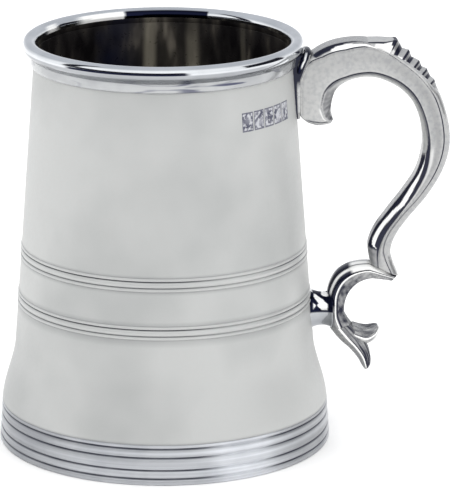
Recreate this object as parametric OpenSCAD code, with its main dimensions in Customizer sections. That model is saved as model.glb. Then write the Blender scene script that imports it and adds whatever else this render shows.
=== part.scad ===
// One-pint pewter tankard: tapered barrel, reeded foot, rounded lip and a cast double-scroll handle.
// Millimetres. Z = 0 is the table the foot rests on, Z is the barrel's axis, +X points at the handle.

/* [Body] */
// overall height, table to the crown of the lip
body_h = 126.1; // [110:0.1:140]
// barrel radius just under the neck band
neck_r = 39.8; // [36:0.1:42]
// how much the radius grows for each millimetre down the barrel
taper = 0.075; // [0.03:0.005:0.1]
// thickness of the spun wall
wall_t = 1.3; // [0.9:0.1:2.2]
// extra radius of the flared skirt above the foot
flare_r = 2.85; // [1:0.05:4]
// height at which the skirt starts to flare
flare_top_z = 31; // [24:0.5:40]

/* [Lip] */
// radius of the rounded lip section
lip_r = 2.3; // [1.8:0.05:3.5]
// radius of the mouth, lip edge to lip edge
mouth_r = 38.35; // [35:0.05:39]
// height of the narrow neck band under the lip
neck_band_h = 3.9; // [3:0.1:6]

/* [Girdle bands] */
// top edge of the upper band
upper_band_z = 62.2; // [55:0.1:75]
// top edge of the lower band
lower_band_z = 47.6; // [40:0.1:52]
// how deep each band is let into the wall
band_seat = 0.55; // [0.3:0.05:0.8]
// how far the reeds of a band stand proud of the wall
band_proud = 0.28; // [0.1:0.02:0.6]

/* [Foot] */
// height of the reeded foot ring
foot_h = 12.3; // [9:0.1:16]
// radius of the foot where it meets the table
foot_r = 51.1; // [48:0.1:56]
// slope of the foot ring, radius lost for each millimetre up
foot_taper = 0.07; // [0:0.01:0.12]
// inside radius of the foot ring below the floor
foot_bore_r = 47.6; // [44:0.1:48.5]
// depth of the turned grooves
groove_d = 0.55; // [0.3:0.05:0.8]
// width of the turned grooves
groove_w = 0.6; // [0.3:0.05:0.9]

/* [Floor] */
// height of the underside of the floor disc
floor_z = 8.2; // [5:0.1:10]
// thickness of the floor disc
floor_t = 1.7; // [1:0.1:3]

/* [Handle] */
// width of the cast arm, side to side
arm_w = 10.4; // [8:0.1:13]
// width of the bevel along the arm's edges
arm_bevel = 1.7; // [0.8:0.1:2.4]
// width of the lower scroll
scroll_w = 8.6; // [6:0.1:11]
// number of steps in the leaf thumb rest
leaf_steps = 5; // [3:1:6]
// height of the tallest leaf step above the arm
leaf_h = 3.4; // [2:0.1:4.5]
// height of the strut's axis above the table
strut_z = 39.9; // [36:0.1:44]
// radius of the strut at its waist
strut_r = 5.0; // [3.5:0.1:6]

/* [Touch marks] */
// number of small struck marks beside the handle
mark_count = 5; // [0:1:5]
// depth of each struck mark
mark_d = 0.22; // [0.1:0.02:0.5]

/* [Hidden] */
$fn = 96;
eps = 0.02;
skirt_h = flare_top_z - foot_h;
lip_z = body_h - lip_r;
lip_c = mouth_r + 2.05;
neck_top_z = lip_z - lip_r + 0.15;
neck_low_z = neck_top_z - neck_band_h;
neck_bulge = 0.65;
neck_arc_r = 8;
neck_seat = 0.5;
wall_steps = 12;
ledge_r = foot_bore_r + 1.1;
floor_top_z = floor_z + floor_t;
band_reeds = [[0, 1.0], [1.3, 1.65], [3.2, 1.0]];
reed_steps = 6;
reed_groove_d = 0.3;
band_h = 4.2;
foot_lines = [0, 1.85, 4.45, 8.25, 11.03, foot_h];
saddle_x = 41.4;
saddle_low_z = 101.2;
saddle_kink_z = 113.5;
saddle_top_z = 121.0;
saddle_lean = 0.4;
saddle_w = arm_w - 0.6;
heel_x = 71.9;
heel_z = 51.0;
crease_x = 63.3;
crease_z = 55.0;
strut_end_x = 50.1;
strut_flare = 1.8;
strut_flare_arc = 3.7;
ring_steps = 4;
corner_n = 3;
pewter = [0.74, 0.75, 0.75];
polished = [0.82, 0.83, 0.84];
solder = [0.45, 0.45, 0.46];

// ---- shared rules ----

// eases from 0 to 1 with level ends
function ease(t) = let (k = min(max(t, 0), 1)) k * k * (3 - 2 * k);

// outside radius of the barrel at height z
function wall_r(z) = neck_r + taper * (113 - z) + flare_r * ease((flare_top_z - z) / skirt_h);

// heights where the wall's outline needs a corner
function wall_zs(low, high, n) = [for (k = [0 : n]) low + (high - low) * k / n];

// outside radius of the foot ring at height z
function foot_outer(z) = foot_r - foot_taper * z;

// a point of a smooth curve through the stations p, between p[i] and p[i + 1]
function curve(p, i, t) =
    let (n = len(p) - 1, a = p[max(i - 1, 0)], b = p[i], c = p[min(i + 1, n)], d = p[min(i + 2, n)])
    0.5 * (2 * b + (c - a) * t + (2 * a - 5 * b + 4 * c - d) * t * t + (3 * b - a - 3 * c + d) * t * t * t);

// the whole curve, with the given number of steps from station to station
function curve_all(p, steps) =
    [for (i = [0 : len(p) - 2], k = [0 : steps - 1]) curve(p, i, k / steps), p[len(p) - 1]];

// a point at position u of a polyline
function along(p, u) =
    let (i = min(floor(u), len(p) - 2), t = u - i) p[i] * (1 - t) + p[i + 1] * t;

// the line the handle's back sits on, where it meets the barrel
function seat_x(z) = saddle_x + saddle_lean * max(z - saddle_kink_z, 0);

// a quarter turn of a rounded corner: centre q, radius r, starting at angle a
function corner(q, r, a) = [for (k = [0 : corner_n - 1]) q + r * [cos(a + 90 * k / (corner_n - 1)), sin(a + 90 * k / (corner_n - 1))]];

// bevelled section of thickness t and half width w, with its own bevel on the outer edge:
// [distance from the inner edge, sideways]
function arm_section(t, w, c_out, c) =
    concat(corner([t - c_out, w - c_out], c_out, 0), corner([c, w - c], c, 90),
           corner([c, c - w], c, 180), corner([t - c_out, c_out - w], c_out, 270));

// ridged section of the lower scroll: widest at its middle, narrow at the outer face, hollow inside
function scroll_section(t, w) =
    let (half = [[t, w * 0.5], [t * 0.88, w * 0.82], [t * 0.66, w * 0.97], [t * 0.48, w],
                 [t * 0.24, w * 0.88], [0, w * 0.7], [t * 0.08, w * 0.3]])
    concat([for (q = half) [q[0], -q[1]]], [for (k = [len(half) - 1 : -1 : 0]) half[k]]);

// places a flat section between inner point i and outer point o, both [x, z]
function place(section, i, u) = [for (q = section) [i[0] + u[0] * q[0], q[1], i[1] + u[1] * q[0]]];

// ring of a station [outer x, outer z, inner x, inner z, width, share of the outer bevel]
function arm_ring(s) =
    let (o = [max(s[0], seat_x(s[1])), s[1]], i = [s[2], s[3]], t = norm(o - i), c = min(arm_bevel, t * 0.42))
    place(arm_section(t, s[4] / 2, c * max(s[5], 0.15), c), i, (o - i) / t);

function scroll_ring(s) =
    let (o = [max(s[0], abs(s[1] - strut_z) < 7 ? strut_end_x : 0), min(s[1], cut_z(s[0]))], i = [s[2], s[3]], t = norm(o - i))
    place(scroll_section(t, s[4] / 2), i, (o - i) / t);

// closed skin over a list of rings with the same number of points
module skin(rings) {
    n = len(rings[0]);
    m = len(rings);
    points = [for (r = rings) for (p = r) p];
    sides = [for (i = [0 : m - 2], k = [0 : n - 1])
        let (a = i * n + k, b = i * n + (k + 1) % n)
        for (f = [[a, b, b + n], [a, b + n, a + n]]) f];
    first = [[for (k = [n - 1 : -1 : 0]) k]];
    last = [[for (k = [0 : n - 1]) (m - 1) * n + k]];
    polyhedron(points, concat(sides, first, last), convexity = 8);
}

// ---- turned pieces ----

// outline of the wall: outside from the foot to the lip, then back down the inside
function wall_outline(inside) =
    [for (z = concat(wall_zs(foot_h, flare_top_z, wall_steps), wall_zs(flare_top_z + 4, neck_low_z, 4)))
        [wall_r(z) - inside, z]];

module wall_profile() {
    outer = wall_outline(0);
    inner = wall_outline(wall_t);
    top_r = wall_r(neck_low_z) - neck_seat;
    polygon(concat(outer, [[top_r, neck_low_z], [top_r, neck_top_z], [mouth_r, neck_top_z]],
                   [for (k = [len(inner) - 1 : -1 : 0]) inner[k]]));
}

// space the seated girdle band takes in the wall
module band_seat_profile(top_z) {
    polygon([[wall_r(top_z) - band_seat, top_z], [wall_r(top_z) + 2, top_z],
             [wall_r(top_z - band_h) + 2, top_z - band_h], [wall_r(top_z - band_h) - band_seat, top_z - band_h]]);
}

module touch_marks() {
    mark_w = 3.9;
    mark_h = 5.6;
    mark_z = 107;
    pitch = 6.2;
    for (k = [0 : 1 : mark_count - 1])
        rotate([0, 0, -49.5 + pitch * k])
            translate([wall_r(mark_z) - mark_d, 0, mark_z])
                rotate([0, -atan(taper), 0])
                    translate([0, -mark_w / 2, -mark_h / 2])
                        cube([2, mark_w, mark_h]);
}

module barrel_wall() {
    color(pewter) difference() {
        rotate_extrude() difference() {
            wall_profile();
            band_seat_profile(upper_band_z);
            band_seat_profile(lower_band_z);
        }
        touch_marks();
    }
}

module lip_moulding() {
    color(polished) rotate_extrude() difference() {
        union() {
            translate([lip_c, lip_z]) circle(r = lip_r);
            translate([mouth_r, neck_top_z]) square([wall_r(neck_low_z) - mouth_r, lip_z - neck_top_z]);
        }
        translate([0, neck_top_z - 3]) square([mouth_r, body_h]);
        translate([0, neck_top_z - 3]) square([neck_r + 5, 3]);
    }
}

// outline of the neck band, a shallow bulge that stands a little proud of the wall
module neck_profile() {
    r_in = wall_r(neck_low_z) - neck_seat;
    mid_z = (neck_low_z + neck_top_z) / 2;
    intersection() {
        translate([r_in, neck_low_z]) square([4, neck_top_z - neck_low_z]);
        translate([wall_r(neck_low_z) + neck_bulge + 0.15 - neck_arc_r, mid_z]) circle(r = neck_arc_r);
    }
}

module neck_band() {
    color(polished) rotate_extrude() neck_profile();
}

// outside of one reed, from its top edge down: a shallow arc standing proud of the wall
function reed_outline(top, h) =
    [for (k = [0 : reed_steps]) let (t = k / reed_steps, z = top - h * t) [wall_r(z) + band_proud * (4 * t * (1 - t)) - 0.05, z]];

// a band of reeds, with a turned groove between each two, let into the wall
module girdle_band(top_z) {
    low_z = top_z - band_h;
    reeds = [for (reed = band_reeds) each reed_outline(top_z - reed[0], reed[1])];
    rotate_extrude()
        polygon(concat([[wall_r(top_z) - band_seat, top_z]], [for (k = [0 : 1 : len(reeds) - 1]) each
            (k > 0 && k % (reed_steps + 1) == 0) ?
                [[reeds[k - 1][0] - reed_groove_d, reeds[k - 1][1] - 0.02], [reeds[k][0] - reed_groove_d, reeds[k][1] + 0.02], reeds[k]]
                : [reeds[k]]], [[wall_r(low_z) - band_seat, low_z]]));
}

module upper_girdle_band() {
    color(polished) girdle_band(upper_band_z);
}

module lower_girdle_band() {
    color(polished) girdle_band(lower_band_z);
}

module foot_ring() {
    color(pewter) rotate_extrude() difference() {
        polygon([[foot_bore_r, 0], [foot_outer(0) - 0.4, 0], [foot_outer(0), 0.4], [foot_outer(foot_h), foot_h],
                 [wall_r(foot_h) - wall_t, foot_h], [ledge_r, floor_top_z], [ledge_r, floor_z],
                 [foot_bore_r, floor_z]]);
        for (k = [1 : len(foot_lines) - 2])
            translate([foot_outer(foot_lines[k]) + groove_w / 2 - groove_d, foot_lines[k]]) circle(r = groove_w / 2);
        for (k = [1 : len(foot_lines) - 2])
            translate([foot_outer(foot_lines[k]) + groove_w / 2 - groove_d, foot_lines[k] - groove_w / 2])
                square([2, groove_w]);
    }
}

module floor_disc() {
    color(pewter) translate([0, 0, floor_z]) cylinder(r = ledge_r, h = floor_t);
}

module floor_solder_fillet() {
    fillet = 1.5;
    r_out = ledge_r;
    color(solder) rotate_extrude() difference() {
        polygon([[r_out - fillet, floor_top_z], [r_out, floor_top_z],
                 [wall_r(foot_h) - wall_t, foot_h], [r_out - 0.25, foot_h]]);
        translate([r_out - fillet, foot_h + 0.1]) circle(r = fillet * 0.9);
    }
}

// ---- cast handle ----

// stations of the arm, from the hook by the barrel to the heel:
// outer x, outer z, inner x, inner z, width, share of the outer bevel
arm_stations = [
    [50.6, 99.3, 51.5, 100.8, arm_w * 0.7, 1],
    [48.6, 98.8, 50.9, 102.3, arm_w * 0.86, 1],
    [46.2, 98.9, 50.8, 104.0, arm_w * 0.94, 1],
    [43.4, 100.2, 51.0, 105.8, arm_w * 0.98, 0.6],
    [41.0, 103.4, 51.4, 107.7, arm_w, 0.15],
    [41.0, 110.0, 52.3, 109.9, arm_w, 0.15],
    [41.3, 116.4, 54.3, 111.8, arm_w, 0.15],
    [45.3, 121.0, 57.4, 113.2, arm_w, 0.8],
    [51.4, 124.1, 61.2, 113.9, arm_w, 1],
    [59.5, 125.1, 64.8, 113.6, arm_w, 1],
    [67.0, 123.3, 68.6, 112.2, arm_w, 1],
    [73.5, 119.7, 72.3, 109.9, arm_w, 1],
    [79.3, 114.8, 75.6, 106.2, arm_w, 1],
    [83.7, 108.7, 77.8, 100.9, arm_w, 1],
    [86.5, 100.3, 78.8, 95.0, arm_w * 0.98, 1],
    [87.2, 92.5, 78.6, 89.8, arm_w * 0.96, 1],
    [85.0, 84.5, 76.8, 83.6, arm_w * 0.92, 1],
    [80.4, 76.5, 72.8, 77.4, arm_w * 0.88, 1],
    [75.0, 69.8, 68.4, 71.6, arm_w * 0.84, 1],
    [71.1, 64.2, 64.6, 66.2, arm_w * 0.82, 1],
    [69.5, 59.6, 62.7, 61.6, arm_w * 0.82, 1],
    [70.0, 56.0, 62.6, 58.4, arm_w * 0.82, 1],
    [heel_x, heel_z, crease_x, crease_z, arm_w * 0.8, 1]];
arm_curve = curve_all(arm_stations, ring_steps);

module handle_arm() {
    color(pewter) skin([for (s = arm_curve) arm_ring(s)]);
}

// height of the leaf above the arm at each position along it
leaf_start = 8.7;
leaf_first = 10.4;
leaf_pitch = 0.53;
leaf_drop = 0.14;
function leaf_peak(k) = leaf_h * (0.25 + 0.75 * pow(0.5, k));
leaf_rise = [[leaf_start, 0.06], [9.1, 0.5], [9.5, 1.1], [9.95, 1.95]];
leaf_teeth = [for (k = [0 : leaf_steps - 1]) for (e = [[0, leaf_peak(k)], [leaf_drop, leaf_peak(k) * 0.45]])
    [leaf_first + leaf_pitch * k + e[0], e[1]]];
leaf_end = [[leaf_first + leaf_pitch * leaf_steps, leaf_peak(leaf_steps) * 0.4],
            [leaf_first + leaf_pitch * leaf_steps + 0.3, 0.06]];

// point on the arm's outer face at position u, and the way out of the arm there
function arm_outer(u) = let (s = along(arm_curve, u * ring_steps)) [s[0], s[1]];
function arm_out_dir(u) = let (d = arm_outer(u + 0.25) - arm_outer(u - 0.25)) [-d[1], d[0]] / norm(d);

function leaf_ring(u, h) =
    let (w = arm_w / 2 - arm_bevel, q = [[0, -w], [h * 0.5, -w * 0.9], [h * 0.85, -w * 0.55], [h, -w * 0.15],
                                         [h, w * 0.15], [h * 0.85, w * 0.55], [h * 0.5, w * 0.9], [0, w]])
    place(q, arm_outer(u), arm_out_dir(u));

module thumb_leaf() {
    color(polished) skin([for (e = concat(leaf_rise, leaf_teeth, leaf_end)) leaf_ring(e[0], e[1])]);
}

// turned solid that fills everything inside the outside face of the body
module body_core() {
    rotate_extrude($fn = 288) {
        polygon(concat([[0, foot_h]], wall_outline(0), [[wall_r(neck_low_z), neck_top_z], [0, neck_top_z]]));
        neck_profile();
        translate([lip_c, lip_z]) circle(r = lip_r);
        square([lip_c, lip_z]);
    }
}

// wedge that seats the handle's back against the barrel
module handle_saddle() {
    color(solder) difference() {
        translate([0, saddle_w / 2, 0]) rotate([90, 0, 0]) linear_extrude(saddle_w)
            polygon([[36, saddle_low_z], [seat_x(0), saddle_low_z], [seat_x(0), saddle_kink_z], [36, saddle_kink_z]]);
        body_core();
    }
}

// polished roll that carries the handle's top up to the lip
module rim_knuckle() {
    knuckle_w = arm_w - 1.2;
    color(polished) difference() {
        translate([0, knuckle_w / 2, 0]) rotate([90, 0, 0]) linear_extrude(knuckle_w)
            polygon([[36, saddle_kink_z], [seat_x(saddle_kink_z), saddle_kink_z],
                     [seat_x(saddle_top_z), saddle_top_z], [36, saddle_top_z]]);
        body_core();
    }
}

// height of the cut between the arm's end and the lower scroll
function cut_z(x) = heel_z + (crease_z - heel_z) * (x - heel_x) / (crease_x - heel_x);

// stations of the lower scroll, from the heel round to the tail
scroll_stations = [
    [71.6, 53.3, 69.9, 49.2, scroll_w * 0.74],
    [67.4, 54.5, 66.3, 49.9, scroll_w * 0.9],
    [62.4, 55.2, 62.9, 50.1, scroll_w * 0.98],
    [57.4, 54.6, 59.5, 48.7, scroll_w],
    [53.2, 52.2, 57.1, 46.3, scroll_w],
    [50.8, 48.4, 55.8, 43.5, scroll_w],
    [49.9, 44.0, 55.4, 40.8, scroll_w],
    [49.9, 38.7, 55.6, 38.2, scroll_w],
    [51.1, 33.8, 57.2, 35.4, scroll_w]];
tail_stations = [
    [51.1, 33.8, 57.2, 35.4, scroll_w],
    [53.9, 30.3, 59.7, 32.6, scroll_w],
    [57.1, 27.3, 61.9, 29.3, scroll_w * 0.94],
    [59.5, 24.4, 63.5, 25.9, scroll_w * 0.8],
    [61.1, 21.5, 63.7, 22.7, scroll_w * 0.6],
    [61.9, 20.4, 63.1, 20.9, scroll_w * 0.4]];
lobe_stations = [
    [56.4, 31.2, 58.2, 34.9, scroll_w * 0.8],
    [59.4, 29.9, 60.2, 34.2, scroll_w * 0.92],
    [62.6, 28.8, 62.4, 33.9, scroll_w * 0.9],
    [65.3, 30.6, 64.5, 34.3, scroll_w * 0.76],
    [66.4, 33.4, 65.6, 34.5, scroll_w * 0.5]];

module lower_scroll() {
    color(polished) skin([for (s = curve_all(scroll_stations, ring_steps)) scroll_ring(s)]);
}

module fishtail_terminal() {
    color(polished) union() {
        skin([for (s = curve_all(tail_stations, ring_steps)) scroll_ring(s)]);
        skin([for (s = curve_all(lobe_stations, ring_steps)) scroll_ring(s)]);
    }
}

// flared neck between the barrel and the lower scroll
module handle_strut() {
    x0 = wall_r(strut_z) - 1.2;
    reach = strut_end_x - x0;
    color(polished) difference() {
        translate([x0, 0, strut_z]) rotate([0, 90, 0]) rotate_extrude() difference() {
            square([strut_r + strut_flare, reach]);
            translate([strut_r + strut_flare_arc, reach * 0.56]) circle(r = strut_flare_arc);
        }
        body_core();
    }
}

barrel_wall();
lip_moulding();
neck_band();
upper_girdle_band();
lower_girdle_band();
foot_ring();
floor_disc();
floor_solder_fillet();
handle_arm();
thumb_leaf();
rim_knuckle();
handle_saddle();
lower_scroll();
fishtail_terminal();
handle_strut();
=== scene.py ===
# %% [markdown]
# # A one-pint pewter tankard
# The tankard is a spun and turned vessel with a cast handle. Every round piece (barrel, lip, neck band,
# girdle bands, foot, floor) is a *turned* shape, so one Geometry Nodes "lathe" makes them all from their
# outlines. The handle is a casting, so it is lofted from stations along its scroll. Lengths are written in
# millimetres, as a pewterer would, and turned into metres at the last moment.

# %% Load the frame
import bpy, bmesh, math
import numpy as np
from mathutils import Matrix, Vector
from mathutils.noise import noise as noise3


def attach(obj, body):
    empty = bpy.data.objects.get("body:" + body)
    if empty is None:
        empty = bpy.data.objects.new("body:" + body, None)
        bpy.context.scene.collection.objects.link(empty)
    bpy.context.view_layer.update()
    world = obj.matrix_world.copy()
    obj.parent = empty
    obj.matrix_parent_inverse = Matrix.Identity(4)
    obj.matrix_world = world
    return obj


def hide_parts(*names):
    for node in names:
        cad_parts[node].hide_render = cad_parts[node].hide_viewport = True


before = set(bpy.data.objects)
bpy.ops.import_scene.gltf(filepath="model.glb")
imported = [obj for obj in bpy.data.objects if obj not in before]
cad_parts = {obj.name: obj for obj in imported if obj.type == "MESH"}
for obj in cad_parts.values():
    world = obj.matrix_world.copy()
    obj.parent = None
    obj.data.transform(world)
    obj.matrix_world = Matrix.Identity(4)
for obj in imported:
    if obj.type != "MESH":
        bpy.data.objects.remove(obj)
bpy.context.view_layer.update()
MM = 0.001
print("frame nodes:", len(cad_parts))

# %% [markdown]
# ## Sizes that many pieces share
# The barrel tapers in a straight line and flares into a skirt above the foot. The wall, the bands and the
# handle all need that radius, so it is one function, the same rule as in the solid model.

# %% Shared sizes
NECK_R, NECK_Z, TAPER, FLARE_R, FLARE_TOP = 39.8, 113.0, 0.075, 2.85, 31.0
WALL_T, FOOT_H, FOOT_R, FOOT_TAPER = 1.3, 12.3, 51.1, 0.07
LIP_R, LIP_OUT, LIP_IN, LIP_C, LIP_Z = 2.12, 1.79, 2.55, 40.9, 123.9
MOUTH_R, NECK_TOP, NECK_LOW, NECK_SEAT = 38.35, 121.65, 117.75, 0.5
BAND_H, BAND_TOPS, BAND_SEAT, BAND_PROUD = 4.2, (62.2, 47.6), 0.55, 0.28
FOOT_BORE, FLOOR_Z, FLOOR_T, LEDGE = 47.6, 8.2, 1.7, 1.1
ARM_W, SCROLL_W = 10.4, 8.6
STRUT_Z, STRUT_R = 39.9, 5.0


def ease(t):
    k = min(max(t, 0.0), 1.0)
    return k * k * (3 - 2 * k)


def table(u, rows):
    """Value of a table [(position, value), ...] at u, straight lines between its rows."""
    return float(np.interp(u, [r[0] for r in rows], [r[1] for r in rows]))


def band(x, low, high, soft=0.04):
    """1 between low and high, easing to 0 outside over a width of soft."""
    return ease((x - low) / soft + 0.5) * ease((high - x) / soft + 0.5)


def wall_r(z):
    return NECK_R + TAPER * (NECK_Z - z) + FLARE_R * ease((FLARE_TOP - z) / (FLARE_TOP - FOOT_H))


def foot_outer(z):
    return FOOT_R - FOOT_TAPER * z


print("wall radius at mid height %.2f mm" % wall_r(63))

# %% [markdown]
# ## A node toolbox
# Building node trees in a script is a matter of adding nodes and linking sockets. Small helpers keep each
# tree readable. `node` adds one node with its settings, and a dictionary of inputs links or sets its sockets.
# The others are the sums that come up again and again: a product, a change of range, a noise, a mix.

# %% Node helpers
def node(tree, kind, inputs=None, **settings):
    n = tree.nodes.new(kind)
    for key, value in settings.items():
        setattr(n, key, value)
    for key, value in (inputs or {}).items():
        if isinstance(value, bpy.types.NodeSocket):
            tree.links.new(value, n.inputs[key])
        else:
            n.inputs[key].default_value = value
    return n


def maths(tree, operation, a, b=0.0):
    return node(tree, "ShaderNodeMath", {0: a, 1: b}, operation=operation).outputs[0]


def product(tree, first, *others):
    for other in others:
        first = maths(tree, "MULTIPLY", first, other)
    return first


def ramp(tree, value, low, high, to=(0.0, 1.0), **settings):
    """The value carried from the range low..high to the range `to`, and held at its ends outside it."""
    inputs = {"Value": value, "From Min": low, "From Max": high, "To Min": to[0], "To Max": to[1]}
    return node(tree, "ShaderNodeMapRange", inputs, **settings).outputs[0]


def cloud_of(tree, where, scale, detail, **more):
    inputs = {"Vector": where, "Scale": scale, "Detail": detail, **more}
    return node(tree, "ShaderNodeTexNoise", inputs).outputs["Fac"]


def noise(tree, where, scale, detail=3.0, low=0.3, high=0.7, to=(0.0, 1.0)):
    return ramp(tree, cloud_of(tree, where, scale, detail), low, high, to)


def blend(tree, factor, a, b, kind="RGBA"):
    left, right, result = (6, 7, 2) if kind == "RGBA" else (2, 3, 0)
    return node(tree, "ShaderNodeMix", {0: factor, left: a, right: b}, data_type=kind).outputs[result]


def scaled(tree, vector, by):
    return node(tree, "ShaderNodeVectorMath", {0: vector, "Scale": by}, operation="SCALE").outputs[0]


def stretched_to(tree, where, scale):
    return node(tree, "ShaderNodeMapping", {"Vector": where, "Scale": scale}).outputs[0]


def painted(tree, name):
    return node(tree, "ShaderNodeAttribute", attribute_name=name).outputs["Fac"]


def axes_of(tree, where):
    return node(tree, "ShaderNodeSeparateXYZ", {0: where}).outputs


# %% Angles round the axis
def turn_of(tree, where):
    """The angle round the axis in degrees, 0 toward +X and -90 at the front."""
    axes = axes_of(tree, where)
    return maths(tree, "DEGREES", maths(tree, "ARCTAN2", axes["Y"], axes["X"]))


def turn_window(tree, where, middle, half):
    """1 round the given angle, easing to 0 at half degrees away from it."""
    off = maths(tree, "SUBTRACT", turn_of(tree, where), middle)
    off = node(tree, "ShaderNodeMath", {0: off, 1: 180.0, 2: -180.0}, operation="WRAP").outputs[0]
    return ramp(tree, maths(tree, "ABSOLUTE", off), half, half * 0.25, interpolation_type="SMOOTHSTEP")


# %% [markdown]
# ## The finishes
# Pewter is a soft grey tin alloy. Buffed with fine abrasive it turns *satin*; burnished it takes a dark,
# glassy *polish*. Real pieces are never even: buffing leaves faint clouds, turning leaves hair lines round
# the piece, and polish collects as dark soil in grooves. Each finish below is a metal whose colour and
# roughness wander slowly, with fine bump on top. First come three helpers: thin squiggly lines of painted
# reflection, painted highlight and painted shade on some sides, and relief.

# %% Painted reflections, painted sheen and relief
# NAVY is the dark of soil and of painted shade and dark reflections, GLINT the colour of painted highlights,
# and the third the dark of the painted reflection squiggles.
NAVY, GLINT, SQUIGGLE_REFLECTION = (0.008, 0.010, 0.026, 1), (1.0, 1.0, 0.985, 1), (0.055, 0.06, 0.11, 1)


def painted_reflection_squiggles(tree, where, colour, strength):
    """Thin dark lines of painted reflection, the contour lines of a noise stretched round the piece."""
    drawn = stretched_to(tree, where, (34.0, 34.0, 330.0))
    middle = maths(tree, "SUBTRACT", cloud_of(tree, drawn, 1.0, 1.5, Distortion=0.6), 0.5)
    line = ramp(tree, maths(tree, "ABSOLUTE", middle), 0.040, 0.010)
    thick = noise(tree, where, 42.0, 1.0, 0.46, 0.60)
    return blend(tree, product(tree, line, thick, strength), colour, SQUIGGLE_REFLECTION)


def painted_sheen_by_side(tree, where, colour, soil_and_shade, painted_sheen):
    """Paint highlight and shade on some sides. A row is the angle, its half width, the gain in brightness and
    how much of the darkening it clears.
    """
    for middle, half, gain, darkening_cleared in painted_sheen:
        window = turn_window(tree, where, middle, half)
        colour = blend(tree, window, colour, scaled(tree, colour, gain))
        soil_and_shade = product(tree, soil_and_shade, maths(tree, "SUBTRACT", 1.0, product(tree, window, darkening_cleared)))
    return colour, soil_and_shade


def in_relief(tree, shader, heights):
    """Stack bumps, each a height, a strength and a distance, under the shader."""
    normal = None
    for height, strength, distance in heights:
        inputs = {"Height": height, "Strength": strength, "Distance": distance}
        if normal:
            inputs["Normal"] = normal
        normal = node(tree, "ShaderNodeBump", inputs).outputs[0]
    if normal:
        tree.links.new(normal, shader.inputs["Normal"])


# %% [markdown]
# The recipe itself takes two tones, a range of roughness, and the painted marks and relief above. Three
# numbers painted on the mesh, for darkening, glint and polish, tell it where the metal is darker, from soil
# and from painted shade and dark reflections, where it carries a painted highlight and where it is burnished.

# %% A pewter recipe
def blank(name):
    material = bpy.data.materials.new(name)
    material.use_nodes = True
    material.node_tree.nodes.clear()
    return material, material.node_tree


def metal(tree, colour, rough, metallic):
    inputs = {"Base Color": colour, "Roughness": rough, "Metallic": metallic}
    shader = node(tree, "ShaderNodeBsdfPrincipled", inputs)
    node(tree, "ShaderNodeOutputMaterial", {"Surface": shader.outputs[0]})
    return shader


def pewter(name, light, dark, rough, metallic=1.0, cloud=38.0, lines=0.0, line_scale=2600.0, grain=0.0,
           grain_scale=900.0, painted_highlight_and_polish=False, marks=False, streaks=0.0, painted_sheen=(), reflection_squiggles=0.0):
    material, tree = blank(name)
    where = node(tree, "ShaderNodeTexCoord").outputs["Object"]
    turned_round = stretched_to(tree, where, (9.0, 9.0, line_scale))
    colour = blend(tree, noise(tree, where, cloud, 3.0, 0.36, 0.56), (*dark, 1), (*light, 1))
    rough_map = noise(tree, where, grain_scale, 4.0, to=rough)
    if streaks:
        colour = scaled(tree, colour, noise(tree, turned_round, 1.0, 1.0, to=(1.0 - streaks, 1.0 + streaks)))
    # The painted darkening stands for soil in grooves, and elsewhere for painted shade and dark reflections.
    soil_and_shade = product(tree, painted(tree, "soil_and_shade"), noise(tree, where, 110.0, 2.0, 0.3, 0.6, (1.0, 1.18)))
    colour, soil_and_shade = painted_sheen_by_side(tree, where, colour, soil_and_shade, painted_sheen)
    if reflection_squiggles:
        colour = painted_reflection_squiggles(tree, where, colour, reflection_squiggles)
    # Painted highlights: glint mixes in a bright colour and lowers the metal share; polish makes the metal
    # smoother.
    if painted_highlight_and_polish:
        glint = painted(tree, "glint")
        colour = blend(tree, glint, colour, GLINT)
        rough_map = blend(tree, painted(tree, "polish"), rough_map, 0.09, "FLOAT")
        metallic = product(tree, maths(tree, "SUBTRACT", 1.0, product(tree, glint, 0.75)), metallic)
    colour = blend(tree, node(tree, "ShaderNodeClamp", {0: soil_and_shade}).outputs[0], colour, NAVY)
    heights = []
    if marks:
        colour, pressed = touch_marks(tree, where, colour)
        heights.append((pressed, 1.0, 0.0002))
    if lines:
        heights.append((cloud_of(tree, turned_round, 1.0, 1.0), lines, 0.00006))
    if grain:
        heights.append((noise(tree, where, grain_scale, 4.0), grain, 0.00008))
    in_relief(tree, metal(tree, colour, rough_map, metallic), heights)
    return material


# %% [markdown]
# Makers strike a short row of small marks beside the handle. Here they are five plain shields filled with
# abstract strokes: the angle round the barrel says which mark a point is in, the height says how far up it,
# and a threshold on a fine noise draws the strokes.

# %% Touch marks
MARK_FROM, MARK_PITCH, MARK_COUNT, MARK_Z, MARK_HALF_H = -51.6, 6.55, 5.0, 107.0, 2.9
MARK_GROUND, MARK_STROKE = (0.50, 0.505, 0.54, 1), (0.07, 0.073, 0.11, 1)


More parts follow.
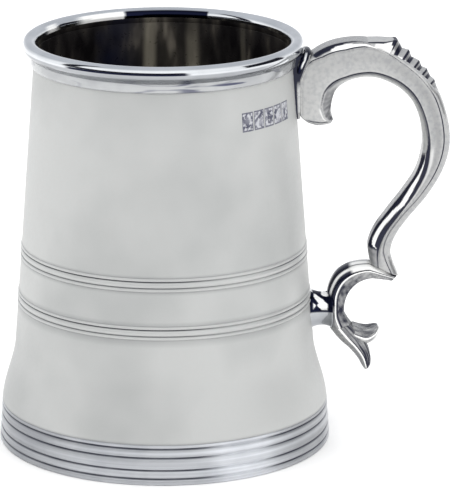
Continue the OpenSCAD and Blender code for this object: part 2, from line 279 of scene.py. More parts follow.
def touch_marks(tree, where, colour):
    """The colour with the marks struck into it, and how deep each point is pressed."""
    def over(a, b):
        return maths(tree, "GREATER_THAN", a, b)

    def under(a, b):
        return maths(tree, "LESS_THAN", a, b)

    steps = maths(tree, "DIVIDE", maths(tree, "SUBTRACT", turn_of(tree, where), MARK_FROM), MARK_PITCH)
    which = maths(tree, "ADD", steps, 0.5)
    across = maths(tree, "ABSOLUTE", maths(tree, "SUBTRACT", maths(tree, "FRACT", which), 0.5))
    up = maths(tree, "SUBTRACT", axes_of(tree, where)["Z"], MARK_Z * MM)
    along = maths(tree, "ABSOLUTE", maths(tree, "DIVIDE", up, MARK_HALF_H * MM))
    inside = product(tree, over(which, 0.0), under(which, MARK_COUNT), under(across, 0.455),
                     under(along, 1.0))
    edge = maths(tree, "MAXIMUM", over(across, 0.40), over(along, 0.86))
    strokes = noise(tree, where, 950.0, 2.5, 0.44, 0.53)
    heavy = noise(tree, where, 210.0, 1.0, 0.38, 0.60, (0.45, 1.0))
    figure = maths(tree, "MAXIMUM", product(tree, edge, 0.85), product(tree, strokes, heavy))
    struck = blend(tree, inside, colour, blend(tree, figure, MARK_GROUND, MARK_STROKE))
    return struck, product(tree, inside, maths(tree, "SUBTRACT", 1.0, figure))


# %% [markdown]
# The barrel is satin. The lip, knuckle and strut are burnished, the neck band a little less, and the girdle
# bands hardly at all. The neck band carries thin lines of painted reflection and the girdle bands a faint
# painted sheen on one side. The foot is brushed on the lathe, and its sides carry painted highlight and
# painted shade, brighter on one side and darker on the others. The handle keeps the fine speckle of a
# casting. The floor is dark above, plain below, and sealed with solder.

# %% The finishes of this piece
SATIN = pewter("satin_pewter", (0.450, 0.457, 0.452), (0.372, 0.380, 0.377), (0.42, 0.52), metallic=0.25,
               cloud=21.0, lines=0.06, grain=0.05, marks=True)
POLISHED = pewter("polished_pewter", (0.70, 0.72, 0.745), (0.61, 0.63, 0.655), (0.05, 0.11), cloud=60.0,
                  lines=0.04, grain=0.02, streaks=0.03, painted_highlight_and_polish=True)
# The neck band carries thin squiggly lines of painted reflection.
NECK = pewter("neck_pewter", (0.44, 0.452, 0.458), (0.38, 0.39, 0.40), (0.14, 0.22), metallic=0.6,
              cloud=130.0, lines=0.08, grain=0.03, streaks=0.02, reflection_squiggles=0.95)
# Painted highlight and painted shade round the foot's sides: one brighter side and three darker ones.
FOOT_SHEEN_AND_SHADE = ((-62.0, 18.0, 1.36, 1.0), (-150.0, 36.0, 0.72, 0.0), (-28.0, 24.0, 0.72, 0.0),
              (80.0, 90.0, 0.82, 0.0))
BRUSHED = pewter("brushed_pewter", (0.44, 0.453, 0.478), (0.37, 0.383, 0.41), (0.30, 0.36), metallic=0.45,
                 cloud=70.0, lines=0.06, streaks=0.16, line_scale=1250.0, grain_scale=260.0,
                 painted_sheen=FOOT_SHEEN_AND_SHADE)
# A faint painted sheen on one side of the girdle bands.
BANDED = pewter("banded_pewter", (0.450, 0.457, 0.452), (0.415, 0.422, 0.420), (0.34, 0.42), metallic=0.3,
                cloud=40.0, grain=0.02, painted_sheen=((-56.0, 30.0, 1.04, 0.85),))
CAST = pewter("cast_pewter", (0.485, 0.487, 0.482), (0.415, 0.42, 0.425), (0.32, 0.44), metallic=0.5,
              cloud=800.0, grain=0.16, grain_scale=1100.0, painted_highlight_and_polish=True)
UNDER = pewter("underside_pewter", (0.46, 0.47, 0.49), (0.39, 0.40, 0.42), (0.34, 0.42), metallic=0.45,
               cloud=60.0, lines=0.05)
FLOOR = pewter("floor_pewter", (0.050, 0.046, 0.046), (0.014, 0.013, 0.015), (0.24, 0.36), metallic=0.35,
               cloud=45.0)
SOLDER = pewter("solder_pewter", (0.05, 0.05, 0.07), (0.008, 0.009, 0.02), (0.15, 0.35), cloud=200.0,
                grain=0.5, grain_scale=1200.0)
print("finishes:", len(bpy.data.materials))

# %% [markdown]
# ## Inside the barrel
# The inside is burnished and mirrors itself. Its colour is painted: an almost black painted reflection,
# broken by soft upright streaks of painted reflected light. Faint streaks follow the angle round the axis, so
# their noise is read on a circle made from that angle, and the same noise gives a faint bump. Three stronger
# ones stand at given angles and fade toward the mouth, and a painted blue reflection lies to the left of
# them.

# %% The inside finish
INSIDE_REFLECTED_TONES = [(0.36, (0.006, 0.005, 0.006, 1)), (0.50, (0.020, 0.018, 0.018, 1)),
                (0.60, (0.045, 0.040, 0.035, 1)), (0.74, (0.20, 0.18, 0.15, 1))]
INSIDE_BLUE_REFLECTION, INSIDE_STREAK_LIGHT = (0.014, 0.017, 0.042, 1), (0.62, 0.57, 0.45, 1)
# Each streak of light: its angle, its half width and its strength. The last is a wide haze.
INSIDE_LIGHTS = ((96.3, 4.2, 0.68), (76.3, 4.4, 0.68), (49.7, 2.2, 0.24), (87.0, 24.0, 0.06))


def toned(tree, value, tones):
    ramp_node = node(tree, "ShaderNodeValToRGB", {"Fac": value})
    elements = ramp_node.color_ramp.elements
    elements[0].position, elements[0].color = tones[0]
    elements[1].position, elements[1].color = tones[-1]
    for position, colour in tones[1:-1]:
        elements.new(position).color = colour
    return ramp_node.outputs[0]


def inside_pewter():
    material, tree = blank("inner_pewter")
    where = node(tree, "ShaderNodeTexCoord").outputs["Object"]
    axes = axes_of(tree, where)
    angle = maths(tree, "ARCTAN2", axes["Y"], axes["X"])
    circle = {"X": maths(tree, "COSINE", angle), "Y": maths(tree, "SINE", angle),
              "Z": product(tree, axes["Z"], 9.0)}
    streak = cloud_of(tree, node(tree, "ShaderNodeCombineXYZ", circle).outputs[0], 7.0, 2.0, Roughness=0.5)
    patchy = noise(tree, where, 60.0, 2.0, 0.40, 0.62, (0.0, 0.60))
    blue = product(tree, turn_window(tree, where, 124.0, 30.0), patchy)
    colour = blend(tree, blue, toned(tree, streak, INSIDE_REFLECTED_TONES), INSIDE_BLUE_REFLECTION)
    deep = ramp(tree, axes["Z"], 0.121, 0.098, (0.35, 1.0))
    broken = product(tree, noise(tree, where, 60.0, 1.5, 0.30, 0.54), deep)
    for middle, half, glow in INSIDE_LIGHTS:
        light = product(tree, turn_window(tree, where, middle, half), product(tree, broken, glow))
        colour = blend(tree, light, colour, INSIDE_STREAK_LIGHT)
    rough = ramp(tree, cloud_of(tree, where, 900.0, 4.0), 0.0, 1.0, (0.24, 0.34))
    in_relief(tree, metal(tree, colour, rough, 0.35), [(streak, 0.15, 0.0004)])
    return material


INSIDE = inside_pewter()
print("inside finish:", INSIDE.name)

# %% [markdown]
# ## The lathe
# A turned piece is one outline carried round an axis. The tree below takes the outline as a string of points,
# makes a grid with one row of vertices for each step round and one column for each outline point, and moves
# every grid vertex to its outline point turned by its own angle. The seam is then merged. Each outline point
# also carries a number that says how dark the metal is painted there, and the tree copies it across, so a
# groove is dark because of where it is in the outline.

# %% The lathe tree
LATHE_INPUTS = (("Outline", "Geometry"), ("Steps round", "Int"), ("Outside", "Material"),
                ("Inside", "Material"), ("Inside starts", "Float"), ("Inside ends", "Float"))


def from_outline(tree, given, value, point, kind):
    inputs = {"Geometry": given["Outline"], "Value": value, "Index": point}
    return node(tree, "GeometryNodeSampleIndex", inputs, data_type=kind).outputs[0]


def named(tree, name):
    return node(tree, "GeometryNodeInputNamedAttribute", {"Name": name}, data_type="FLOAT").outputs[0]


def stored(tree, geometry, name, value):
    inputs = {"Geometry": geometry, "Name": name, "Value": value}
    return node(tree, "GeometryNodeStoreNamedAttribute", inputs, data_type="FLOAT", domain="POINT").outputs[0]


def turned_grid(tree, given):
    """The grid of the outline carried round the axis, with its darkening and its column stored on it."""
    count = node(tree, "GeometryNodeAttributeDomainSize", {"Geometry": given["Outline"]},
                 component="MESH").outputs[0]
    columns = maths(tree, "ADD", count, 1.0)
    rows = maths(tree, "ADD", given["Steps round"], 1.0)
    grid = node(tree, "GeometryNodeMeshGrid", {"Vertices X": rows, "Vertices Y": columns}).outputs["Mesh"]
    index = node(tree, "GeometryNodeInputIndex").outputs[0]
    turn = maths(tree, "FLOOR", maths(tree, "DIVIDE", maths(tree, "ADD", index, 0.25), columns))
    column = maths(tree, "SUBTRACT", index, product(tree, turn, columns))
    point = maths(tree, "FLOOR", maths(tree, "ADD", maths(tree, "MODULO", column, count), 0.25))
    place = node(tree, "GeometryNodeInputPosition").outputs[0]
    radius, _, height = axes_of(tree, from_outline(tree, given, place, point, "FLOAT_VECTOR"))
    angle = product(tree, turn, maths(tree, "DIVIDE", 2 * math.pi, given["Steps round"]))
    spun = node(tree, "ShaderNodeCombineXYZ", {"X": product(tree, radius, maths(tree, "COSINE", angle)),
                                               "Y": product(tree, radius, maths(tree, "SINE", angle)),
                                               "Z": height}).outputs[0]
    soil_and_shade = from_outline(tree, given, named(tree, "soil_and_shade"), point, "FLOAT")
    marked = stored(tree, stored(tree, grid, "soil_and_shade", soil_and_shade), "column", column)
    return node(tree, "GeometryNodeSetPosition", {"Geometry": marked, "Position": spun}).outputs[0]


def lathe_tree():
    tree = bpy.data.node_groups.new("turned_on_a_lathe", "GeometryNodeTree")
    for name, kind in LATHE_INPUTS:
        tree.interface.new_socket(name, in_out="INPUT", socket_type="NodeSocket" + kind)
    tree.interface.new_socket("Turned", in_out="OUTPUT", socket_type="NodeSocketGeometry")
    given = node(tree, "NodeGroupInput").outputs
    closed = node(tree, "GeometryNodeMergeByDistance", {"Geometry": turned_grid(tree, given),
                                                        "Distance": 1e-6}).outputs[0]
    smooth = node(tree, "GeometryNodeSetShadeSmooth", {"Geometry": closed, "Shade Smooth": True}).outputs[0]
    real = node(tree, "GeometryNodeRealizeInstances", {"Geometry": smooth}).outputs[0]
    outside = node(tree, "GeometryNodeSetMaterial", {"Geometry": real,
                                                     "Material": given["Outside"]}).outputs[0]
    asked = named(tree, "column")
    after = node(tree, "FunctionNodeCompare", {0: asked, 1: given["Inside starts"]}, data_type="FLOAT",
                 operation="GREATER_THAN").outputs[0]
    before = node(tree, "FunctionNodeCompare", {0: asked, 1: given["Inside ends"]}, data_type="FLOAT",
                  operation="LESS_THAN").outputs[0]
    within = node(tree, "FunctionNodeBooleanMath", {0: after, 1: before}, operation="AND").outputs[0]
    both = node(tree, "GeometryNodeSetMaterial", {"Geometry": outside, "Selection": within,
                                                  "Material": given["Inside"]}).outputs[0]
    node(tree, "NodeGroupOutput", {"Turned": both})
    return tree


LATHE = lathe_tree()
print("lathe nodes:", len(LATHE.nodes))


def socket_id(tree, name):
    return next(s.identifier for s in tree.interface.items_tree if s.name == name and s.in_out == "INPUT")


# %% [markdown]
# ## Turning a piece
# `turned` makes the outline object, gives it the lathe modifier, sets the named inputs by their identifiers,
# and bakes the result to a plain mesh. A quick volume sum says whether the faces point outwards; if it comes
# out negative, the mesh is flipped.

# %% Helpers for finished pieces
def volume_mm3(mesh):
    mesh.calc_loop_triangles()
    points = np.array([v.co[:] for v in mesh.vertices])
    corners = np.array([t.vertices[:] for t in mesh.loop_triangles])
    a, b, c = points[corners[:, 0]], points[corners[:, 1]], points[corners[:, 2]]
    return float(np.einsum("ij,ij->i", a, np.cross(b, c)).sum() / 6 * 1e9)


def finished(name, mesh, slot, *nodes):
    piece = bpy.data.objects.new(name, mesh)
    mesh.name = name
    bpy.context.scene.collection.objects.link(piece)
    volume = volume_mm3(mesh)
    if volume < 0:
        mesh.flip_normals()
    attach(piece, "root")
    if nodes:
        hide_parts(*nodes)
    print("%-22s %7d faces, %9.1f mm3" % (name, len(mesh.polygons), abs(volume)))
    return piece


def repaint(mesh, paint):
    """Give a mesh its polish, its darkening and its painted highlight, three numbers for each vertex."""
    for j, key in enumerate(("polish", "soil_and_shade", "glint")):
        store = mesh.attributes.get(key) or mesh.attributes.new(key, "FLOAT", "POINT")
        store.data.foreach_set("value", [p[j] for p in paint])


def baked(source, tree, inputs):
    modifier = source.modifiers.new("build", "NODES")
    modifier.node_group = tree
    for key, value in inputs.items():
        modifier[socket_id(tree, key)] = value
    bpy.context.view_layer.update()
    graph = bpy.context.evaluated_depsgraph_get()
    mesh = bpy.data.meshes.new_from_object(source.evaluated_get(graph))
    source.modifiers.remove(modifier)
    bpy.data.objects.remove(source)
    return mesh


def outline_object(points, soil_and_shade):
    mesh = bpy.data.meshes.new("outline")
    mesh.from_pydata([(r * MM, 0, z * MM) for r, z in points], [], [])
    darkening = mesh.attributes.new("soil_and_shade", "FLOAT", "POINT")
    darkening.data.foreach_set("value", soil_and_shade)
    source = bpy.data.objects.new("outline", mesh)
    bpy.context.scene.collection.objects.link(source)
    return source


def turned(points, soil_and_shade, outside, inside=None, inside_from=0, inside_to=0, steps=256):
    source = outline_object(points, soil_and_shade)
    return baked(source, LATHE, {"Steps round": steps, "Outside": outside, "Inside": inside or outside,
                                 "Inside starts": float(inside_from), "Inside ends": float(inside_to)})


# %% [markdown]
# ## Outlines with softened corners
# No edge on worn pewter is sharp. `softened` walks a closed outline of corners and swaps each corner for a
# small arc of its own radius, so a light can run along it. A fourth number says how dark the corner is
# painted.

# %% Softened outlines
def softened(corners, arc=4):
    points, soil_and_shade = [], []
    n = len(corners)
    for k, corner in enumerate(corners):
        here = np.array(corner[:2], float)
        radius = corner[2] if len(corner) > 2 else 0.0
        darkening = corner[3] if len(corner) > 3 else 0.0
        back = np.array(corners[k - 1][:2], float) - here
        on = np.array(corners[(k + 1) % n][:2], float) - here
        long_back, long_on = np.linalg.norm(back), np.linalg.norm(on)
        if radius <= 0:
            points.append(tuple(here))
            soil_and_shade.append(darkening)
            continue
        back, on = back / long_back, on / long_on
        half = math.acos(float(np.clip(back @ on, -1, 1))) / 2
        cut = min(radius / math.tan(half), long_back * 0.48, long_on * 0.48)
        p0, p2 = here + back * cut, here + on * cut
        for j in range(arc + 1):
            t = j / arc
            points.append(tuple((1 - t) ** 2 * p0 + 2 * t * (1 - t) * here + t * t * p2))
            soil_and_shade.append(darkening)
    return points, soil_and_shade


# %% [markdown]
# ## The barrel wall
# The barrel is spun from a flat disc and turned true. Its outline runs up the outside, steps in under the
# neck band, and comes back down the inside, where the finish changes to the dark burnished one.

# %% Barrel wall
def barrel_outline():
    corners = [(wall_r(FOOT_H) - WALL_T, FOOT_H, 0.0), (wall_r(FOOT_H), FOOT_H, 0.15, 0.25)]
    heights = list(np.linspace(FOOT_H, FLARE_TOP, 26))[1:]
    heights += list(np.arange(FLARE_TOP + 2, NECK_LOW - 0.5, 2.0))
    seats = [(top - BAND_H, top) for top in BAND_TOPS]
    marks = [z for seat in seats for z in seat]
    heights = [z for z in heights if all(abs(z - m) > 0.6 for m in marks)
               and not any(low < z < top for low, top in seats)]
    for z in sorted(heights + marks):
        on_seat = [s for s in seats if z in s]
        if on_seat and z == on_seat[0][0]:
            corners += [(wall_r(z), z, 0.12, 0.2), (wall_r(z) - BAND_SEAT, z, 0.05, 1.0)]
        elif on_seat:
            corners += [(wall_r(z) - BAND_SEAT, z, 0.05, 1.0), (wall_r(z), z, 0.12, 0.2)]
        else:
            corners.append((wall_r(z), z))
    corners += [(wall_r(NECK_LOW), NECK_LOW, 0.05), (wall_r(NECK_LOW) - NECK_SEAT, NECK_LOW, 0.0, 1.0),
                (wall_r(NECK_LOW) - NECK_SEAT, NECK_TOP, 0.0), (MOUTH_R, NECK_TOP, 0.0)]
    inside = [(MOUTH_R, NECK_TOP - 0.05), (MOUTH_R - 0.01, NECK_TOP - 0.3)]
    inside += [(wall_r(z) - WALL_T, z) for z in np.linspace(NECK_LOW, FOOT_H + 0.4, 40)]
    return corners, inside


outer_corners, inner_corners = barrel_outline()
outer_points, outer_soil_and_shade = softened(outer_corners)
inner_points, inner_soil_and_shade = softened([outer_corners[-1]] + inner_corners)
points, soil_and_shade = outer_points + inner_points[1:], outer_soil_and_shade + inner_soil_and_shade[1:]
barrel_mesh = turned(points, soil_and_shade, SATIN, INSIDE, len(outer_points) - 1.5, len(points) + 0.5)
finished("barrel_wall_turned", barrel_mesh, "satin_pewter", "barrel_wall")

# %% [markdown]
# ## Lip
# The lip is a cast ring: a rounded roll whose inner edge stands over the mouth. Its section is an egg,
# LIP_OUT wide on its outer side, LIP_IN on its mouth side and LIP_R tall. It is burnished bright, and such a
# roll breaks what it mirrors into long light and dark lines. Those are painted on by two angles: the turn
# round the axis, and the rise round the section, where 0 is outward and 90 is up.

# %% Lip
def paint_lip(turn, rise):
    # Every mark here is painted: the dark and bright lines are painted reflections, and the crevice under the
    # roll and its darker underside are painted shade.
    mouth_side = band(rise, 138.0, 400.0, 14.0) + band(rise, -400.0, -150.0, 8.0)
    dark = mouth_side * band(turn, 69.0, 107.8, 1.0)
    flash = band(turn, 108.2, 400.0, 1.0) * band(turn, -400.0, 132.0, 8.0)
    bright = mouth_side * max(flash, 0.8 * band(turn, 148.0, 157.0, 6.0))
    front_line = 0.98 * band(rise, -9.0, 12.0, 6.0) * band(turn, -132.0, -80.0, 4.0)
    lower = 0.40 * band(rise, -72.0, -8.0, 6.0) * band(turn, -172.0, -40.0, 14.0)
    crevice = 0.35 * band(rise, -140.0, -82.0, 6.0)
    sides = max(band(turn, -60.0, -10.0, 14.0), band(turn, -190.0, -138.0, 14.0))
    under = 0.8 * band(rise, -80.0, -40.0, 16.0) * sides
    return 1.0, max(dark, crevice, under, front_line, lower), bright


lip_points = [(LIP_C + (LIP_OUT if math.cos(a) > 0 else LIP_IN) * math.cos(a), LIP_Z + LIP_R * math.sin(a))
              for a in np.radians(np.linspace(-94, 182, 56))]
lip_points += [(MOUTH_R, LIP_Z - 0.6), (MOUTH_R, NECK_TOP - 1.0), (LIP_C - 0.6, NECK_TOP - 1.0)]
lip_mesh = turned(lip_points, [0.0] * len(lip_points), POLISHED, INSIDE, 55.5, 58.5, steps=384)
lip_paint = []
for vertex in lip_mesh.vertices:
    x, y, z = vertex.co / MM
    rise = math.degrees(math.atan2(z - LIP_Z, math.hypot(x, y) - LIP_C))
    lip_paint.append(paint_lip(math.degrees(math.atan2(y, x)), rise))
repaint(lip_mesh, lip_paint)
finished("lip_moulding_turned", lip_mesh, "polished_pewter", "lip_moulding")

# %% [markdown]
# ## Neck band
# The band under the lip is a shallow bulge with a crisp lower edge. It sits in a seat cut in the wall. It is
# painted a little darker at its lower edge and in the groove above it.

# %% Neck band
BULGE = 0.2
neck_in = wall_r(NECK_LOW) - NECK_SEAT
neck_mid, neck_half = (NECK_TOP + NECK_LOW) / 2, (NECK_TOP - NECK_LOW) / 2
neck_points = [(neck_in, NECK_LOW + 0.02), (neck_in + 1.0, NECK_LOW + 0.02),
               (neck_in + 1.16, NECK_LOW + 0.12)]
neck_points += [(neck_in + 1.22 + BULGE * (1 - t * t), neck_mid + t * neck_half * 0.93)
                for t in np.linspace(-0.9, 1, 12)]
neck_points += [(neck_in + 1.0, NECK_TOP + 0.1), (neck_in, NECK_TOP + 0.1)]
neck_soil_and_shade = [0.6, 0.5, 0.2] + [0.0] * 11 + [0.1, 0.35, 0.8]
finished("neck_band_turned", turned(neck_points, neck_soil_and_shade, NECK), "polished_pewter", "neck_band")

# %% [markdown]
# ## Girdle bands
# Each band is three reeds cut side by side. A reed is a shallow convex arc and the cut between two reeds is
# narrow, so from a little way off a band reads as two fine dark lines.

# %% Girdle bands
# Each reed: how far its top lies below the band's top, and its height.
REEDS = ((0.0, 1.0), (1.3, 1.65), (3.2, 1.0))
CUT_DEPTH, CUT_HALF = 0.34, 0.06


def band_outline(top):
    low = top - BAND_H
    points, soil_and_shade = [(wall_r(top) - BAND_SEAT, top)], [1.0]
    for k, (down, height) in enumerate(REEDS):
        for t in np.linspace(0, 1, 9):
            z = top - down - height * t
            points.append((wall_r(z) + BAND_PROUD * 4 * t * (1 - t) - 0.05, z))
            soil_and_shade.append(0.22 if t in (0.0, 1.0) else 0.0)
        if k < len(REEDS) - 1:
            z = top - down - height - (REEDS[k + 1][0] - down - height) / 2
            points += [(wall_r(z) - CUT_DEPTH, z + CUT_HALF), (wall_r(z) - CUT_DEPTH, z - CUT_HALF)]
            soil_and_shade += [1.0, 1.0] if k == 0 else [0.6, 0.6]
    return points + [(wall_r(low) - BAND_SEAT, low)], soil_and_shade + [0.5]


for name, top in zip(("upper_girdle_band", "lower_girdle_band"), BAND_TOPS):
    band_points, band_soil_and_shade = band_outline(top)
    finished(name + "_turned", turned(band_points, band_soil_and_shade, BANDED), "polished_pewter", name)

# %% [markdown]
# ## The reeded foot
# The foot is a heavy cast ring. Four grooves part it into reeds of different heights, each gently rounded.
# Seen from outside they catch light as bright bands between dark lines; inside, the ring is plain.

# %% Foot ring
FOOT_LINES = (0.0, 1.85, 4.45, 8.25, 11.03, FOOT_H)
GROOVE_EDGE, GROOVE_HALF, GROOVE_DEPTH, REED_CROWN = 0.24, 0.13, 0.45, 0.22


def foot_outline():
    points, soil_and_shade = [], []
    for k in range(len(FOOT_LINES) - 1):
        low, high = FOOT_LINES[k], FOOT_LINES[k + 1]
        first, last = k == 0, k == len(FOOT_LINES) - 2
        low_edge, high_edge = low + (0.0 if first else GROOVE_EDGE), high - (0.0 if last else GROOVE_EDGE)
        for t in np.linspace(0, 1, 13):
            z = low_edge + (high_edge - low_edge) * t
            chamfer = 0.16 if first and t == 0 else 0.0
            points.append((foot_outer(z) - REED_CROWN * (2 * t - 1) ** 4 - chamfer, z))
            soil_and_shade.append(0.45 if t in (0.0, 1.0) and 0 < z < FOOT_H else 0.0)
        if not last:
            bottom = foot_outer(high) - GROOVE_DEPTH
            points += [(bottom, high - GROOVE_HALF), (bottom, high + GROOVE_HALF)]
            soil_and_shade += [0.8, 0.8]
    ledge = FOOT_BORE + LEDGE
    inner = [(wall_r(FOOT_H) - WALL_T, FOOT_H), (ledge, FLOOR_Z + FLOOR_T), (ledge, FLOOR_Z),
             (FOOT_BORE, FLOOR_Z), (FOOT_BORE, 0.35), (FOOT_BORE + 0.35, 0.0)]
    return points + inner, soil_and_shade + [0.3] * 2 + [0.0] * 4


foot_points, foot_soil_and_shade = foot_outline()
foot_mesh = turned(foot_points, foot_soil_and_shade, BRUSHED, steps=288)
finished("foot_ring_turned", foot_mesh, "brushed_pewter", "foot_ring")

# %% [markdown]
# ## Floor and its solder
# The floor is a separate disc dropped onto a ledge in the foot and soldered from above. Turning rings show on
# it, and the solder makes a small dark cove all round.

# %% Floor disc and solder cove
COVE_R, RIPPLE, RIPPLES_TO = 1.5, 0.05, 46.0


def floor_outline():
    top, bottom = [], []
    for r in np.linspace(0.0, FOOT_BORE + LEDGE - 0.05, 60):
        ripple = RIPPLE * math.cos(r * 2.1)
        top.append((r, FLOOR_Z + FLOOR_T - 0.05 + (ripple if r < RIPPLES_TO else 0) - 0.05))
        bottom.append((r, FLOOR_Z + (0.06 + ripple if r < RIPPLES_TO else 0.0)))
    return bottom + top[::-1]


floor_points = floor_outline()
floor_mesh = turned(floor_points, [0.0] * len(floor_points), UNDER, FLOOR, 60.5, 119.5, steps=192)
finished("floor_disc_turned", floor_mesh, "inner_pewter", "floor_disc")
ledge_r, seat_z = FOOT_BORE + LEDGE, FLOOR_Z + FLOOR_T
cove_points = [(ledge_r + 0.1, seat_z), (ledge_r + 0.2, seat_z + 1.4)]
cove_points += [(ledge_r - COVE_R * (1 - math.cos(a)) - 0.02, seat_z + COVE_R * (1 - math.sin(a)))
                for a in np.linspace(0.15, math.pi / 2, 10)]
cove_mesh = turned(cove_points, [0.0] * len(cove_points), SOLDER, steps=192)
finished("floor_solder_cove", cove_mesh, "solder", "floor_solder_fillet")

# %% [markdown]
# ## The cast arm
# The arm is a long S that starts as a hook beside the barrel, rises over the fingers and runs down to a
# pointed heel. It is given as *stations*: at each, a point on its outer edge, one on its inner edge and a
# share of the full width. A smooth curve through the stations gives as many rings as wanted, and a skin over
# the rings gives the arm.

# %% Curves and skins
def curve_all(stations, steps):
    p = np.array(stations, float)
    n = len(p) - 1
    rows = []
    for i in range(n):
        a, b, c, d = p[max(i - 1, 0)], p[i], p[i + 1], p[min(i + 2, n)]
        for t in np.arange(steps) / steps:
            rows.append(0.5 * (2 * b + (c - a) * t + (2 * a - 5 * b + 4 * c - d) * t ** 2
                               + (3 * b - a - 3 * c + d) * t ** 3))
    return np.array(rows + [p[-1]])


def skin(rings, paint, material):
    n, m = len(rings[0]), len(rings)
    points = [tuple(np.array(p) * MM) for ring in rings for p in ring]
    faces = [(i * n + k, i * n + (k + 1) % n, (i + 1) * n + (k + 1) % n, (i + 1) * n + k)
             for i in range(m - 1) for k in range(n)]
    for ring, turn in ((0, -1), (m - 1, 1)):
        centre = np.mean([points[ring * n + k] for k in range(n)], axis=0)
        points.append(tuple(centre))
        hub = len(points) - 1
        for k in range(n):
            a, b = ring * n + k, ring * n + (k + 1) % n
            faces.append((a, b, hub) if turn > 0 else (b, a, hub))
    mesh = bpy.data.meshes.new("skin")
    mesh.from_pydata(points, [], faces)
    for j, key in enumerate(("polish", "soil_and_shade", "glint")):
        flat = [p[j] for row in paint for p in row] if paint else [0.0] * (n * m)
        ends = [float(np.mean(flat[:n])), float(np.mean(flat[-n:]))]
        mesh.attributes.new(key, "FLOAT", "POINT").data.foreach_set("value", flat + ends)
    mesh.materials.append(material)
    mesh.polygons.foreach_set("use_smooth", [True] * len(mesh.polygons))
    mesh.validate()
    return mesh


# %% Arm stations
SEAT_X, SEAT_KINK, SEAT_LEAN = 41.4, 113.5, 0.4
HEEL, CREASE = (71.9, 51.0), (63.3, 55.0)
ARM_STATIONS = [
    (50.6, 99.3, 51.5, 100.8, 0.70), (48.6, 98.8, 50.9, 102.3, 0.86), (46.2, 98.9, 50.8, 104.0, 0.94),
    (43.4, 100.2, 51.0, 105.8, 0.98), (41.0, 103.4, 51.4, 107.7, 1.0), (41.0, 110.0, 52.3, 109.9, 1.0),
    (41.3, 116.4, 54.3, 111.8, 1.0), (45.3, 121.0, 57.4, 113.2, 1.0), (51.4, 124.1, 61.2, 113.9, 1.0),
    (59.5, 125.1, 64.8, 113.6, 1.0), (67.0, 123.3, 68.6, 112.2, 1.0), (73.5, 119.7, 72.3, 109.9, 1.0),
    (79.3, 114.8, 75.6, 106.2, 1.0), (83.7, 108.7, 77.8, 100.9, 1.0), (86.5, 100.3, 78.8, 95.0, 0.98),
    (87.1, 92.5, 78.6, 89.8, 0.96), (85.0, 84.5, 76.8, 83.6, 0.92), (80.4, 76.5, 72.8, 77.4, 0.88),
    (75.0, 69.8, 68.4, 71.6, 0.84), (71.1, 64.2, 64.6, 66.2, 0.82), (69.5, 59.6, 62.7, 61.6, 0.82),
    (70.0, 56.0, 62.6, 58.4, 0.82), (*HEEL, *CREASE, 0.80)]
ARM_STEPS = 10
arm_rows = curve_all(ARM_STATIONS, ARM_STEPS)
print("arm rings:", len(arm_rows))

# %% [markdown]
# The section of the arm is a flat bar with rounded bevels: a back, two side faces and an inner face, joined
# by bevels, with a fine scored line where a bevel meets a side. Each bevel has its own depth along the arm,
# read from a short table by the station number u.

# %% Tables of the arm's section
OUTER_DEPTH = [(0, 1.6), (2.4, 1.4), (3.4, 0.3), (6.4, 0.3), (7.2, 2.0), (8.3, 2.3), (9.1, 1.3), (9.8, 1.3),
               (10.6, 1.8), (13.0, 1.8), (16.0, 2.2), (22.0, 2.3)]
INNER_DEPTH = [(0, 1.4), (1.0, 2.6), (3.5, 3.9), (5.0, 3.2), (7.0, 2.1), (12.0, 1.9), (15.0, 2.1),
               (17.0, 3.1), (20.0, 3.1), (22.0, 2.4)]
LEAF_DIP = [(9.3, 0.0), (9.6, 0.7), (12.6, 0.7), (13.0, 0.0)]
LINE_OUT = [(0.0, 0.6), (1.2, 0.9), (2.9, 0.95), (3.3, 0.0), (6.2, 0.0), (6.6, 1.0), (10.3, 1.0), (10.7, 0.4),
            (12.5, 0.4), (12.8, 1.0), (15.5, 1.0), (17.0, 0.6), (20.0, 0.6), (22.0, 0.9)]
LINE_IN = [(0, 0.0), (3.5, 0.15), (5.5, 0.9), (14.0, 0.9), (15.0, 1.0), (20.4, 1.0), (22.0, 0.7)]
SCORED = 0.38
# The tables below set the painted reflections and painted shade on the bevels and sides.
NAVY_EDGE = [(6.9, 0.85), (7.6, 0.78), (7.95, 0.48), (8.5, 0.28), (9.2, 0.08), (9.6, 0.0)]
GLOW_FROM = [(7.5, 0.72), (8.0, 0.50), (8.4, 0.34), (8.8, 0.58), (9.9, 0.74)]
SIDE_SHADE = [(4.0, 0.0), (6.5, 0.08), (10.0, 0.16), (13.5, 0.26), (15.5, 0.24), (17.5, 0.10), (22.0, 0.06)]
BLACK_WIDTH = [(13.8, 0.0), (15.0, 0.34), (16.1, 0.28), (17.0, 0.16), (17.5, 0.05), (17.9, 0.20),
               (18.6, 0.28), (20.0, 0.32), (20.3, 0.0)]
STRIPE_WIDTH = [(15.3, 0.0), (15.8, 0.18), (16.5, 0.36), (19.6, 0.38), (20.1, 0.22), (20.3, 0.0)]
print("tables of the section run to station", max(OUTER_DEPTH)[0])

# %% [markdown]
# The hook and arch keep satin sides. Over the arch the outer bevel turns from dark to bright. Down the lower
# arm the inner bevel grows into a burnished round that carries a bright stripe between two dark ones. These
# dark and bright bands are painted reflections and painted shade, standing in for the surroundings that the
# metal mirrors. They are painted on the skin as three numbers a point: polish, darkening and glint. Here q
# runs across a bevel from 0 to 1, away from the face it starts at.

